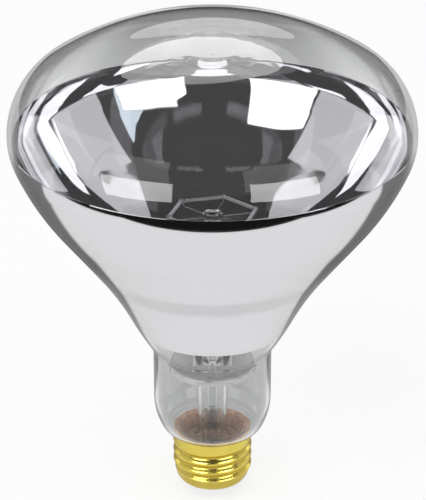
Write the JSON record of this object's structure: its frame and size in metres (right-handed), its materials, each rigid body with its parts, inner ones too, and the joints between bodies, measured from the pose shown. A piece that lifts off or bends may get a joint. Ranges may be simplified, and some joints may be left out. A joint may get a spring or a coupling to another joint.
{
  "type": "infrared heat lamp bulb",
  "caption": "Clear-faced reflector heat lamp bulb: mirrored conical glass envelope, clear neck with stem and heat shield, coiled ring filament, brass screw cap.",
  "frame": {"origin": "centre of the screw cap's base contact, on the lamp's axis, the lowest point of the lamp", "axes": "+Z along the lamp's axis, from the cap towards the face; +Y towards the back, where the side lead is soldered to the cap's lip"},
  "size_m": [0.127, 0.127, 0.1646],
  "materials": {
    "clear_glass": "clear, polished",
    "reflector": "evaporated aluminium, mirror bright",
    "tungsten": "grey drawn tungsten",
    "nickel": "nickel-plated wire",
    "molybdenum": "grey drawn wire",
    "shield_metal": "plain pressed aluminium",
    "cap_brass": "bright rolled brass",
    "black_glass": "black glass, glossy",
    "contact_brass": "plain brass",
    "solder": "dull solder",
    "cement": "brown baked cement, matt"
  },
  "bodies": {
    "root": {"glass_bulb": "clear_glass", "reflector_film": "reflector", "stem": "clear_glass", "exhaust_tube": "clear_glass", "arbor": "clear_glass", "filament": "tungsten", "inner_lead_left": "nickel", "inner_lead_right": "nickel", "seal_wire_left": "nickel", "seal_wire_right": "nickel", "centre_lead": "nickel", "side_lead": "nickel", "heat_shield": "shield_metal", "cap_shell": "cap_brass", "cap_insulator": "black_glass", "centre_contact": "contact_brass", "contact_solder": "solder", "lip_solder": "solder", "basing_cement": "cement", "support_wire_1": "molybdenum", "support_wire_2": "molybdenum", "support_wire_3": "molybdenum", "support_wire_4": "molybdenum"}
  },
  "joints": []
}
